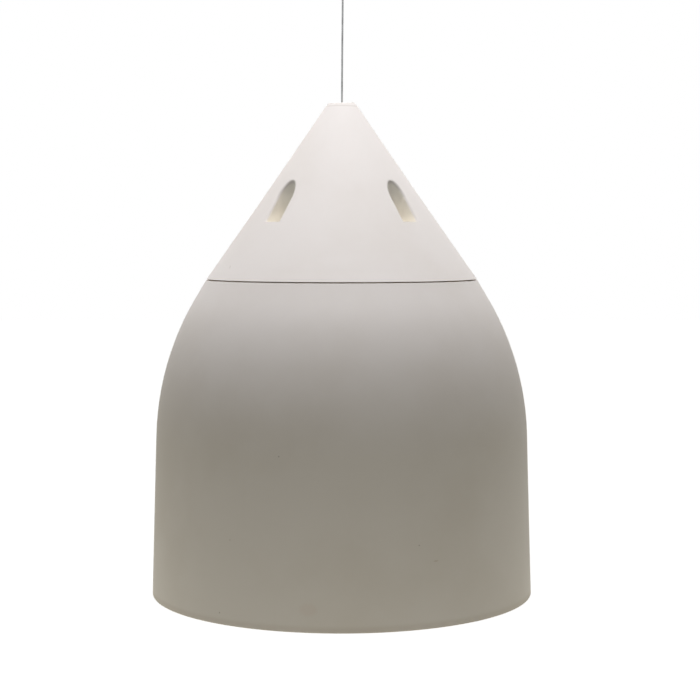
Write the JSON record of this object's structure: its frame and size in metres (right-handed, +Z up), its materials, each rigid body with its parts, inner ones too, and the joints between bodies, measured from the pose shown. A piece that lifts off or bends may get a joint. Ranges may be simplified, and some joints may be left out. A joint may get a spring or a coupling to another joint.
{
  "type": "pendant speaker",
  "caption": "Bell-shaped pendant loudspeaker with a conical cover, hung by a thin wire rope, with a downward grille, coaxial driver, line transformer and tap selector inside.",
  "frame": {"origin": "middle of the eye at the top of the wire rope, from which the speaker hangs", "axes": "+Z up along the rope, +X to the right and +Y away from the viewer of the picture"},
  "size_m": [0.31, 0.3098, 0.5252],
  "materials": {
    "housing_plastic": "warm white moulding with a fine matt texture",
    "grille_paint": "powder coated in the housing's white",
    "scrim_cloth": "thin black acoustic cloth",
    "zinc_steel": "bright zinc plated",
    "black_steel": "black baked paint",
    "nickel": "nickel plated",
    "black_plastic": "fine matt black",
    "black_foam": "closed cell foam",
    "cone_paper": "pressed paper, dark grey",
    "black_rubber": "soft butyl rubber",
    "spider_cloth": "resin stiffened woven cloth",
    "aluminium": "plain",
    "copper": "enamelled copper wire",
    "ferrite": "unglazed ferrite",
    "tag_board": "pressed laminate with tinned tags",
    "dome_silk": "coated silk",
    "lamination_steel": "varnished laminations",
    "board_green": "glass fibre board with green mask",
    "capacitor_sleeve": "dark blue sleeve",
    "white_ceramic": "cement filled ceramic case",
    "rope_steel": "galvanised wire rope",
    "wadding": "polyester wadding",
    "lead_black": "black insulation",
    "lead_red": "red insulation"
  },
  "bodies": {
    "housing": {"top_cap": "housing_plastic", "cap_screws": "zinc_steel", "cap_grommet": "housing_plastic", "enclosure_body": "housing_plastic", "grille": "grille_paint", "grille_scrim": "scrim_cloth", "grille_holders": "nickel", "baffle": "black_plastic", "baffle_gasket": "black_foam", "baffle_screws": "black_steel", "port_tube_front": "black_plastic", "port_tube_rear": "black_plastic", "woofer_basket": "black_steel", "woofer_gasket": "black_foam", "woofer_screws": "black_steel", "woofer_top_plate": "zinc_steel", "woofer_magnet": "ferrite", "woofer_yoke": "zinc_steel", "woofer_surround": "black_rubber", "woofer_spider": "spider_cloth", "woofer_tag_strip": "tag_board", "tweeter_bridge": "black_plastic", "bridge_screws": "black_steel", "tweeter_faceplate": "black_plastic", "tweeter_dome": "dome_silk", "tweeter_motor": "black_steel", "transformer_core": "lamination_steel", "transformer_winding": "copper", "transformer_bracket": "zinc_steel", "transformer_screws": "zinc_steel", "crossover_board": "board_green", "crossover_screws": "zinc_steel", "crossover_inductor": "copper", "crossover_capacitors": "capacitor_sleeve", "crossover_resistor": "white_ceramic", "tap_selector_switch": "black_plastic", "tap_selector_nut": "zinc_steel", "terminal_block": "black_plastic", "terminal_screws": "zinc_steel", "hanger_bracket": "zinc_steel", "hanger_bolts": "zinc_steel", "hanger_nuts": "zinc_steel", "suspension_rope": "rope_steel", "rope_stop": "aluminium", "rope_ferrule": "aluminium", "rope_thimble": "zinc_steel", "acoustic_wadding": "wadding", "input_lead": "lead_black", "selector_lead": "lead_black", "crossover_lead": "lead_black", "woofer_leads": "lead_red", "tweeter_lead": "lead_black"},
    "tap_selector": {"tap_selector_knob": "black_plastic", "tap_selector_shaft": "aluminium"},
    "diaphragm": {"woofer_cone": "cone_paper", "woofer_dust_cap": "cone_paper", "voice_coil_former": "aluminium", "voice_coil_winding": "copper"}
  },
  "joints": [
    {"name": "tap_selector_turn", "type": "hinge", "parent": "housing", "child": "tap_selector", "pos_m": [0, -0.07, -0.263], "axis": [0, 0, 1], "range_deg": [0, 150]},
    {"name": "woofer_travel", "type": "slide", "parent": "housing", "child": "diaphragm", "axis": [0, 0, 1], "range_m": [-0.004, 0.004], "stiffness_N_per_m": 1500, "deforming": ["woofer_surround", "woofer_spider"]}
  ]
}
